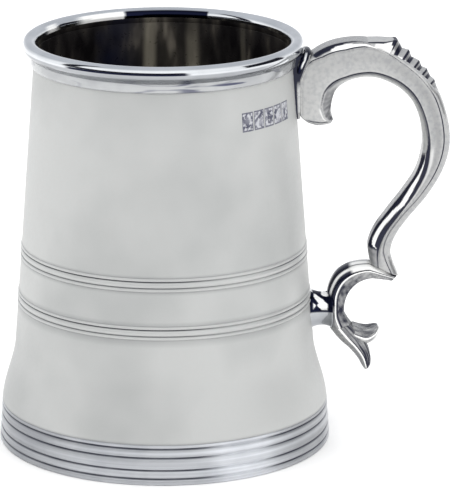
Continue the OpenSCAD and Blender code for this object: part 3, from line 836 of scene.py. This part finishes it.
# %% Paint of the arm's bevels
def paint_outer(u, q):
    low_edge, glow_from = table(u, NAVY_EDGE), table(u, GLOW_FROM)
    navy = 0.97 * band(u, 6.95, 9.4, 0.12) * band(q, -0.2, low_edge, 0.08)
    bright = band(u, 7.75, 9.9, 0.25) * band(q, max(glow_from, low_edge + 0.04), 0.94, 0.07)
    grey = 0.30 * band(u, 8.5, 10.4, 0.3) * band(q, low_edge, glow_from, 0.1)
    pale = 0.16 * band(u, 12.5, 23.0, 0.5)
    return 0.9 - 0.6 * band(u, 8.6, 10.4, 0.3), max(navy, grey, pale), bright * (1 - navy)


def paint_inner(u, q):
    black, stripe = table(u, BLACK_WIDTH), table(u, STRIPE_WIDTH)
    speck = 0.5 + noise3(Vector((u * 3.0, q * 2.0, 0.5)))
    low = band(u, 15.0, 20.4, 0.3)
    arch = 0.60 * band(u, 5.0, 14.6, 1.0) * band(q, -0.4, 0.30, 0.35)
    dark = band(q, -0.2, black, 0.05) if black > 0.02 else 0.0
    navy = band(q, black + stripe + 0.04, 0.96, 0.05) * low
    bright = band(q, black + 0.02, black + stripe + 0.02, 0.05) if stripe > 0.02 else 0.0
    hook = (0.38 + 0.3 * speck) * band(u, -1.0, 5.2, 1.6) * band(q, 0.10, 1.2, 0.2)
    tail = (0.25 + 0.25 * speck) * band(u, 20.2, 23.0, 0.3) * band(q, 0.0, 1.2, 0.2)
    return 0.15 + 0.8 * low, max(dark, 0.96 * navy, hook, tail, arch), bright


# %% The arm's section
def arm_half(u, t, w):
    """Half of the section at station u, t thick and w half wide, with three painted numbers a point."""
    out_d, in_d = table(u, OUTER_DEPTH), min(table(u, INNER_DEPTH), t * 0.46)
    out_d = min(out_d, t * 0.4)
    out_w, in_w = min(out_d, 1.8), min(in_d, 1.9)
    top, back_shade = t - table(u, LEAF_DIP), 0.26 * band(u, 6.8, 10.6, 0.3)
    half = [(top, 0.0, 0.3, back_shade, 0.0), (top, (w - out_w) * 0.6, 0.3, back_shade, 0.0),
            (top, w - out_w, 0.5, back_shade, 0.0)]
    for q in (0.08, 0.17, 0.33, 0.5, 0.67, 0.83, 0.93):
        bulge = 0.34 * math.sin(math.pi * q) * min(out_d / 1.7, 1.0)
        depth, across = top - (top - t + out_d) * q, w - out_w * (1 - q)
        half.append((depth + bulge * 0.7, across + bulge * 0.7, *paint_outer(u, q)))
    a = t - out_d
    line = table(u, LINE_OUT)
    half += [(a, w, 0.6, line, 0.0), (a - 0.20, w - 0.09, 0.2, line, 0.0),
             (a - SCORED, w, 0.1, 0.1 * line, 0.0)]
    swell = 0.12 + 0.25 * ease((u - 14.0) / 3.0)
    lit = band(u, 14.8, 19.6, 0.8)
    for q in np.linspace(0.10, 0.90, 7):
        shade = table(u, SIDE_SHADE) * (0.7 + 0.5 * band(q, 0.2, 0.6, 0.2))
        half.append((a - SCORED - (a - in_d - SCORED - 0.55) * q, w + swell * math.sin(math.pi * q), 0.05,
                     shade, 0.6 * lit * band(q, 0.7, 1.0, 0.2)))
    line = table(u, LINE_IN)
    rim = 0.5 * band(u, -1.0, 3.4, 0.6)
    half += [(in_d + 0.55, w, 0.1, 0.0, rim), (in_d + 0.40, w - 0.06, 0.2, line * 0.8, rim),
             (in_d + 0.15, w - 0.09, 0.3, line, 0.0), (in_d, w, 0.4, line, 0.0)]
    for q in np.linspace(0.06, 0.94, 13):
        bulge = (0.30 + 0.25 * ease((u - 14.0) / 3.0)) * math.sin(math.pi * q)
        half.append((in_d * (1 - q) - bulge * 0.5, w - in_w * q + bulge * 0.8, *paint_inner(u, q)))
    grey = max(0.25 * band(u, 14.0, 23.0, 1.0), 0.85 * band(u, 18.5, 21.6, 0.6))
    return half + [(0.0, w - in_w, 0.3, grey, 0.0), (0.05, (w - in_w) * 0.5, 0.3, grey, 0.0),
                   (0.08, 0.0, 0.3, grey, 0.0)]


# %% The arm's skin
def seat_x(z):
    return SEAT_X + SEAT_LEAN * max(z - SEAT_KINK, 0.0)


def set_ring(row, half):
    outer, inner = row[:2], row[2:4]
    way = (outer - inner) / np.linalg.norm(outer - inner)
    full = half + [(p[0], -p[1], *p[2:]) for p in half[-2:0:-1]]
    return [(inner[0] + way[0] * p[0], p[1], inner[1] + way[1] * p[0]) for p in full], [p[2:] for p in full]


def arm_ring(row, u):
    row = row.copy()
    if u < 7.2:
        row[0] = max(row[0], seat_x(row[1]))
    t = np.linalg.norm(row[:2] - row[2:4])
    return set_ring(row, arm_half(u, t, ARM_W * row[4] / 2))


arm_rings = [arm_ring(row, k / ARM_STEPS) for k, row in enumerate(arm_rows)]
arm_mesh = skin([r for r, _ in arm_rings], [m for _, m in arm_rings], CAST)
finished("handle_arm_cast", arm_mesh, "cast_pewter", "handle_arm")

# %% [markdown]
# ## The leaf thumb rest
# A stylised leaf lies along the back of the arm: a smooth blade that ends in a peak, then four steps, each
# smaller than the last, like tiles on a roof. Its height above the arm is one line along the arm (LEAF_LINE),
# and each cross-section drops from that height to the side of the arm, so the steps keep crisp edges without
# any cutting.

# %% The leaf
LEAF_LINE = [(9.3, -0.02), (9.5, 0.35), (10.0, 1.6), (10.36, 3.05), (10.42, 2.9), (10.72, 1.35),
             (10.99, 2.0), (11.03, 1.9), (11.22, 0.72), (11.56, 1.3), (11.6, 1.2), (11.79, 0.4), (12.0, 1.1),
             (12.04, 1.0), (12.31, 0.36), (12.54, 0.7), (12.58, 0.6), (12.8, 0.12), (13.0, 0.0)]
LEAF_PEAKS = [10.36, 10.99, 11.56, 12.0, 12.54, 13.05]
LEAF_SHOULDER = [(9.3, 0.76), (9.9, 0.74), (10.36, 0.36), (10.7, 0.12), (13.0, 0.12)]
LEAF_EDGE = [(9.3, -1.3), (9.8, -1.3), (10.6, -1.8), (13.0, -1.8)]


def arm_outer(u):
    k = min(max(u * ARM_STEPS, 0.0), len(arm_rows) - 1.001)
    i = int(k)
    row = arm_rows[i] * (1 - (k - i)) + arm_rows[i + 1] * (k - i)
    return row[:2]


# The leaf is painted with light and shade: its dark ridge lines, risers and valleys are painted reflections
# and painted shade, and the bright strips along its sides are painted highlights.
def leaf_point(u, s):
    v = u + 0.10 * abs(s) if u > 10.2 else u
    height, shoulder, edge = table(v, LEAF_LINE), table(u, LEAF_SHOULDER), table(u, LEAF_EDGE)
    k = max((abs(s) - shoulder) / (1 - shoulder), 0.0)
    n = height + (edge - height) * k ** table(u, [(9.3, 1.1), (10.4, 1.5)])
    tooth = next((i for i in range(5) if LEAF_PEAKS[i] <= v < LEAF_PEAKS[i + 1]), None)
    if tooth is None:
        bright = band(u, 9.6, 10.30, 0.12) * band(abs(s), shoulder + 0.07, 0.95, 0.06)
        edge_line = band(u, 9.2, 10.3, 0.3) * band(abs(s), shoulder - 0.06, shoulder + 0.06, 0.03)
        tip = band(v, 10.26, 10.5, 0.03) * band(abs(s), -0.5, 0.72, 0.06)
        return n, (0.2, max(edge_line, tip), 0.75 * bright * (1 - tip))
    p = (v - LEAF_PEAKS[tooth]) / (LEAF_PEAKS[tooth + 1] - LEAF_PEAKS[tooth])
    middle = band(abs(s), -0.5, 0.84, 0.08)
    fade = 1.0 if tooth < 4 else 0.5
    ridge = band(p, -0.1, 0.10, 0.03) * middle
    valley = fade * band(p, 0.26, 0.56, 0.08) * band(abs(s), -0.5, 0.9, 0.08)
    riser = 0.35 * band(p, 0.08, 0.3, 0.05) + 0.12 * band(p, 0.5, 0.95, 0.1) + fade * band(p, 0.93, 1.2, 0.04)
    bright = band(abs(s), 0.76, 0.975, 0.04) * band(p, 0.10, 1.0, 0.08) * (1.0 if tooth < 4 else 0.2)
    return n, (0.25, max(ridge, valley, riser, 0.5 * band(abs(s), 0.985, 1.1, 0.02)), bright)


def leaf_rings():
    rings, paint = [], []
    half_w = ARM_W / 2 + 0.06
    for u in np.linspace(9.3, 12.99, 190):
        here, ahead, behind = arm_outer(u), arm_outer(u + 0.12), arm_outer(u - 0.12)
        along = (ahead - behind) / np.linalg.norm(ahead - behind)
        out = np.array([-along[1], along[0]])
        ring, marks = [], []
        for s in np.linspace(-1, 1, 49):
            n, mark = leaf_point(u, s)
            p = here + out * n
            ring.append((p[0], s * half_w, p[1]))
            marks.append(mark)
        for s in np.linspace(0.8, -0.8, 9):
            p = here + out * (table(u, LEAF_EDGE) - 0.4)
            ring.append((p[0], s * half_w, p[1]))
            marks.append((0.2, 0.0, 0.0))
        rings.append(ring)
        paint.append(marks)
    return rings, paint


rings, paint = leaf_rings()
finished("thumb_leaf_cast", skin(rings, paint, CAST), "cast_pewter", "thumb_leaf")

# %% [markdown]
# ## Saddle and knuckle
# The casting meets the round barrel on a wedge of solder, and under the lip a polished roll ties its top edge
# in. Both are small, but they decide whether the handle looks soldered on or merely placed.

# %% Saddle
SADDLE_LOW, SADDLE_TOP, SADDLE_FLARE = 101.0, 121.0, 0.3
# Each row: the share of the way from the casting to the barrel, and how dark it is painted there below and
# above the height where the painted shade under the lip begins. Low down only the part by the wall is dark, a
# dark solder line; higher up it is all painted shade.
CHEEK, SHADE_FROM_Z = ((0.1, 0.0, 1.0), (0.40, 0.0, 1.0), (0.62, 1.0, 1.0), (0.92, 1.0, 1.0)), 110.5


def saddle():
    rings, paint = [], []
    for z in np.linspace(SADDLE_LOW, SADDLE_TOP, 44):
        half = (ARM_W / 2 - 0.08) * min(1.0, 0.7 + 0.3 * ease((z - SADDLE_LOW) / 3.0))
        front_x = seat_x(z) + 0.12
        ring = [(front_x, s * half, z) for s in np.linspace(-1, 1, 15)]
        marks = [(0.2, 0.0, 0.0)] * 15
        wide = half + SADDLE_FLARE
        wall_x = math.sqrt(wall_r(z) ** 2 - wide ** 2) - 0.25
        shaded_above = ease((z - SHADE_FROM_Z) / 3.5)
        cheek = [(front_x + (wall_x - front_x) * t, half + SADDLE_FLARE * t, max(low, high * shaded_above))
                 for t, low, high in CHEEK]
        ring += [(x, y, z) for x, y, _ in cheek]
        marks += [(0.3, soil_and_shade, 0.0) for _, _, soil_and_shade in cheek]
        for y in np.linspace(1, -1, 15) * wide:
            ring.append((math.sqrt(wall_r(z) ** 2 - y * y) - 0.25, y, z))
            marks.append((0.2, 1.0, 0.0))
        ring += [(x, -y, z) for x, y, _ in reversed(cheek)]
        marks += [(0.3, soil_and_shade, 0.0) for _, _, soil_and_shade in reversed(cheek)]
        rings.append(ring)
        paint.append(marks)
    return rings, paint


finished("handle_saddle_solder", skin(*saddle(), CAST), "solder", "handle_saddle")

# %% Knuckle
KNUCKLE_SIDES = 20
KNUCKLE_HALF = [(40.9, -5.0, 115.4), (41.2, -5.3, 117.0), (41.9, -5.2, 118.8), (42.9, -4.6, 120.3),
                (43.5, -2.6, 120.9)]
KNUCKLE_PATH = KNUCKLE_HALF + [(43.6, 0.0, 121.1)] + [(x, -y, z) for x, y, z in reversed(KNUCKLE_HALF)]


def tube(path, radii, sides):
    rings = []
    path = np.array(path, float)
    for k, p in enumerate(path):
        along = path[min(k + 1, len(path) - 1)] - path[max(k - 1, 0)]
        along /= np.linalg.norm(along)
        side = np.cross(along, [1.0, 0.0, 0.35])
        side /= np.linalg.norm(side)
        up = np.cross(side, along)
        rings.append([p + radii[k] * (math.cos(a) * side + math.sin(a) * up)
                      for a in np.linspace(0, 2 * math.pi, sides, endpoint=False)])
    return rings


def paint_knuckle(along, a):
    """Painted dark reflection all round but for two thin painted highlights on its crests, which show near
    its two ends.
    """
    crest = 0.85 * band(math.cos(a - 2.6), 0.95, 2.0, 0.08) + 0.5 * band(math.cos(a - 4.2), 0.95, 2.0, 0.08)
    crest *= band(along, 0.12, 0.34, 0.06) + band(along, 0.66, 0.88, 0.06)
    return 0.9, 1 - crest, 0.8 * crest


knuckle_path = curve_all(KNUCKLE_PATH, 6)
steps_along = [k / (len(knuckle_path) - 1) for k in range(len(knuckle_path))]
knuckle_radii = [0.35 + 0.95 * math.sin(math.pi * t) ** 0.6 for t in steps_along]
knuckle_rings = tube(knuckle_path, knuckle_radii, KNUCKLE_SIDES)
turns = np.linspace(0, 2 * math.pi, KNUCKLE_SIDES, endpoint=False)
knuckle_paint = [[paint_knuckle(t, a) for a in turns] for t in steps_along]
finished("rim_knuckle_roll", skin(knuckle_rings, knuckle_paint, POLISHED), "polished_pewter", "rim_knuckle")

# %% [markdown]
# ## The lower scroll and fishtail
# Below the heel the casting curls back into a C and ends in a fishtail of two lobes. Its section is a ridge:
# rounded outside, widest in the middle, and hollowed on the inside of the curl.

# %% Lower scroll
STRUT_END = 50.1
SCROLL_STATIONS = [
    (71.6, 53.3, 69.9, 49.2, 0.74), (67.4, 54.5, 66.3, 49.9, 0.90), (62.4, 55.2, 62.9, 50.1, 0.98),
    (57.4, 54.6, 59.5, 48.7, 1.0), (53.2, 52.2, 57.1, 46.3, 1.0), (50.8, 48.4, 55.8, 43.5, 1.0),
    (49.9, 44.0, 55.4, 40.8, 1.0), (49.9, 38.7, 55.6, 38.2, 1.0), (51.1, 33.8, 57.2, 35.4, 1.0)]
TAIL_STATIONS = [
    (51.1, 33.8, 57.2, 35.4, 1.0), (53.9, 30.3, 59.7, 32.6, 1.0), (57.1, 27.3, 61.9, 29.3, 0.94),
    (59.5, 24.4, 63.5, 25.9, 0.80), (61.1, 21.5, 63.7, 22.7, 0.60), (61.9, 20.4, 63.1, 20.9, 0.40)]
LOBE_STATIONS = [
    (56.4, 31.2, 58.2, 34.9, 0.80), (59.4, 29.9, 60.2, 34.2, 0.92), (62.6, 28.8, 62.4, 33.9, 0.90),
    (65.3, 30.6, 64.5, 34.3, 0.76), (66.4, 33.4, 65.6, 34.5, 0.50)]


def cut_z(x):
    return HEEL[1] + (CREASE[1] - HEEL[1]) * (x - HEEL[0]) / (CREASE[0] - HEEL[0])


# The scroll is painted with light and shade: its cream and navy bands and the dark lines by the ridge are
# painted reflections, the bright ridge is a painted highlight, and the dark crease under the heel, the darker
# lower curl and the darker hollow inside it are painted shade.
def paint_scroll(v, q):
    """v runs from the heel (0) to the scroll's foot (8), q from the outside (0) over the ridge (0.42) in."""
    mottle = noise3(Vector((v * 2.6, q * 14.0, 7.5)))
    if q < 0.38:
        cream = band(v, 0.8, 3.3, 0.4) * band(q, 0.04, 0.33, 0.05)
        navy = band(v, 3.1, 6.3, 0.4) * (1 - 0.95 * band(q, 0.19, 0.26, 0.04) * band(v, 2.6, 5.6, 0.4))
        dark_reflection_lines = band(v, -1.0, 3.8, 0.4) * max(band(q, 0.345, 0.40, 0.015), 0.8 * band(q, 0.15, 0.175, 0.015))
        crease = 0.95 * band(v, -1.0, 0.5, 0.3)
        low = (0.30 + 0.3 * mottle) * band(v, 6.2, 9.0, 0.5)
        thin = 0.9 * band(q, 0.19, 0.26, 0.04) * band(v, 3.2, 5.6, 0.4)
        soil_and_shade = max(navy, dark_reflection_lines, low, crease * band(q, -1.0, 0.3, 0.1))
        return 0.85, soil_and_shade, max(0.8 * cream * (1 - dark_reflection_lines), thin)
    if q < 0.45:
        return 0.8, 0.0, 1.0
    if q < 0.50:
        return 0.5, 0.10, 0.45
    line = 0.9 * band(q, 0.52, 0.57, 0.02) * band(v, 4.0, 8.5, 0.8)
    return 0.35, max(0.40 + 0.20 * band(v, 3.0, 8.5, 0.5) + 0.45 * mottle, line), 0.0


# The tail and lobes are painted the same way: bright ridges as painted highlights, darker hollows and streaks
# as painted shade.
def paint_tail(v, q):
    streak = noise3(Vector((v * 0.9, q * 26.0, 1.5)))
    if q < 0.34:
        return 0.7, 0.20 + 0.5 * band(q, -1.0, 0.12, 0.08), 0.0
    if q < 0.45:
        return 0.8, 0.0, band(v, -1.0, 4.6, 0.4)
    hollow = 0.45 + 0.3 * ease((v - 1.0) / 1.5) + 0.6 * streak
    return 0.35, max(hollow, 0.9 * band(q, 0.44, 0.52, 0.03) * ease(v - 1.0)), 0.0


def paint_lobe(v, q):
    streak = noise3(Vector((v * 1.1, q * 20.0, 9.5)))
    if q < 0.34:
        return 0.5, 0.25 + 0.5 * streak, 0.25
    if q < 0.45:
        return 0.8, 0.0, 1.0
    return 0.4, 0.45 + 0.5 * streak if q > 0.5 else 0.9, 0.0


SCROLL_HALF = [(1.0, 0.0), (0.995, 0.22), (0.975, 0.42), (0.93, 0.60), (0.86, 0.76), (0.77, 0.88),
               (0.67, 0.96), (0.57, 0.995), (0.53, 1.0), (0.50, 0.995), (0.45, 0.97), (0.36, 0.93),
               (0.27, 0.90), (0.16, 0.85), (0.05, 0.79), (0.0, 0.70), (0.03, 0.52), (0.09, 0.34),
               (0.12, 0.16), (0.13, 0.0)]
SCROLL_FINE = curve_all(SCROLL_HALF, 3)


def scroll_ring(row, v, paint):
    row = row.copy()
    if abs(row[1] - STRUT_Z) < 7:
        row[0] = max(row[0], STRUT_END)
    row[1] = min(row[1], cut_z(row[0]))
    t, w = np.linalg.norm(row[:2] - row[2:4]), SCROLL_W * row[4] / 2
    last = len(SCROLL_FINE) - 1
    return set_ring(row, [(t * a, w * b, *paint(v, k / last)) for k, (a, b) in enumerate(SCROLL_FINE)])


def scroll_mesh(stations, paint):
    rings = [scroll_ring(row, k / 10, paint) for k, row in enumerate(curve_all(stations, 10))]
    return skin([r for r, _ in rings], [m for _, m in rings], CAST)


finished("lower_scroll_cast", scroll_mesh(SCROLL_STATIONS, paint_scroll), "cast_pewter", "lower_scroll")
both = bmesh.new()
for stations, paint in ((TAIL_STATIONS, paint_tail), (LOBE_STATIONS, paint_lobe)):
    part = scroll_mesh(stations, paint)
    if volume_mm3(part) < 0:
        part.flip_normals()
    both.from_mesh(part)
fishtail = bpy.data.meshes.new("fishtail")
both.to_mesh(fishtail)
both.free()
fishtail.materials.append(CAST)
finished("fishtail_terminal_cast", fishtail, "cast_pewter", "fishtail_terminal")

# %% [markdown]
# ## The strut
# A short neck joins the lower scroll to the barrel. It is waisted, flaring into the wall at one end and into
# the scroll at the other, so it is turned on the same lathe and then laid on its side. Its upper half is
# burnished and carries small dark and bright patches of painted reflection; the lower half is painted a plain
# darker grey as a dull painted reflection.

# %% Strut
strut_from, strut_to = wall_r(STRUT_Z) - 1.0, STRUT_END + 1.6
strut_points = [(0.0, strut_from)]
for t in np.linspace(0, 1, 26):
    flare = 1.75 * (1 - t) ** 3.2 + 1.1 * t ** 4
    strut_points.append((STRUT_R + flare, strut_from + (strut_to - strut_from) * t))
strut_points.append((0.0, strut_to))
strut_mesh = turned(strut_points, [0.6, 0.6] + [0.0] * 26, POLISHED, steps=128)
strut_paint = []
for vertex in strut_mesh.vertices:
    x, y, z = vertex.co
    vertex.co = (z, y, STRUT_Z * MM - x)
    turn = math.degrees(math.atan2(-x, abs(y)))
    reach = (z / MM - strut_from) / (strut_to - strut_from)
    reflection_patch = noise3(Vector((3.4 * reach + 3.1, turn / 21.0 + 1.3 * reach, 1.7)))
    top = band(turn, 2.0, 200.0, 6.0)
    ends = 0.95 * max(band(reach, 0.80, 1.2, 0.05), band(reach, -0.3, 0.20, 0.05))
    ends *= band(turn, 5.0, 60.0, 8.0)
    dark = max(band(reflection_patch, 0.0, 2.0, 0.12), ends, band(turn, 1.0, 9.0, 3.0)) * top
    strut_paint.append((0.35 + 0.6 * top, max(dark, 0.36 * (1 - top)), top * (1 - dark)))
repaint(strut_mesh, strut_paint)
finished("handle_strut_turned", strut_mesh, "polished_pewter", "handle_strut")

# %% [markdown]
# ## Floor, light and camera
# A plain pale floor and a white tent of light. Metal shows what is round it, so mirror-like rays see a tent
# with a dark opening where the viewer stands and narrow dark gaps at its seams, which draw some of the dark
# lines on polished edges; most of the others are painted on the metal. Matt rays see even light, so the
# satin barrel stays calm.

# %% Floor
# It lies a hair under the foot, so that the two faces don't fight over one plane.
bpy.ops.mesh.primitive_plane_add(size=6.0, location=(0, 0, -0.1 * MM))
ground = bpy.context.object
ground.name = "studio_floor"
pale = bpy.data.materials.new("pale_floor")
pale.use_nodes = True
paper = pale.node_tree.nodes["Principled BSDF"].inputs
paper["Base Color"].default_value, paper["Roughness"].default_value = (0.95, 0.95, 0.95, 1), 0.9
ground.data.materials.append(pale)
print("floor:", ground.name)

# %% World
world = bpy.data.worlds.new("light_tent")
bpy.context.scene.world = world
world.use_nodes = True
tree = world.node_tree
tree.nodes.clear()
way = node(tree, "ShaderNodeTexCoord").outputs["Generated"]
axes = axes_of(tree, way)
LIGHT, SHADED, DARK = (1.25, 1.255, 1.26, 1), (0.66, 0.68, 0.72, 1), (0.012, 0.013, 0.022, 1)
EVEN = (1.5, 1.5, 1.5, 1)
# Each dark opening: the middle of its turn and half its width, the middle of its rise and half its height.
OPENINGS = ((-29.0, 47.0, 7.0, 9.0), (-82.0, 7.0, 30.0, 28.0), (92.0, 22.0, 12.0, 14.0))
turn = maths(tree, "DEGREES", maths(tree, "ARCTAN2", axes["X"], maths(tree, "MULTIPLY", axes["Y"], -1.0)))
rise = maths(tree, "DEGREES", maths(tree, "ARCSINE", axes["Z"]))


def opening(turn_mid, turn_half, rise_mid, rise_half, soft=2.0):
    """1 inside a window of the tent given in degrees, 0 outside."""
    sides = []
    for value, middle, half in ((turn, turn_mid, turn_half), (rise, rise_mid, rise_half)):
        off = maths(tree, "ABSOLUTE", maths(tree, "SUBTRACT", value, middle))
        sides.append(ramp(tree, off, half + soft, half - soft, interpolation_type="SMOOTHSTEP"))
    return product(tree, *sides)


dark = opening(*OPENINGS[0])
for window in OPENINGS[1:]:
    dark = maths(tree, "MAXIMUM", dark, opening(*window))
overhead = node(tree, "ShaderNodeVectorMath", {0: way, 1: (0.0, 0.5, 0.866)}, operation="DOT_PRODUCT")
roof = ramp(tree, overhead.outputs["Value"], 0.30, 0.62)
tent = blend(tree, dark, blend(tree, roof, LIGHT, SHADED), DARK)
mirrored = node(tree, "ShaderNodeLightPath").outputs["Is Glossy Ray"]
light = node(tree, "ShaderNodeBackground", {"Color": blend(tree, mirrored, EVEN, tent), "Strength": 1.0})
node(tree, "ShaderNodeOutputWorld", {"Surface": light.outputs[0]})
print("openings in the tent:", len(OPENINGS))

# %% [markdown]
# The camera stands a little over a metre away with a long lens, looking down by sixteen degrees, which keeps
# the barrel's sides nearly straight and shows the mouth as a slim ellipse.

# %% Camera
scene = bpy.context.scene
scene.view_settings.view_transform = "Standard"
eye = bpy.data.cameras.new("eye")
eye.sensor_width, eye.lens = 36.0, 3994.6 * 36.0 / 490.0
eye.clip_end = 50.0
camera = bpy.data.objects.new("eye", eye)
camera.location = (0.0, -1180.41 * MM, 394.91 * MM)
pitch, yaw = math.radians(15.827), math.radians(0.908)
look = Vector((math.sin(yaw) * math.cos(pitch), math.cos(yaw) * math.cos(pitch), -math.sin(pitch)))
camera.rotation_euler = look.to_track_quat("-Z", "Y").to_euler()
scene.collection.objects.link(camera)
scene.camera = camera
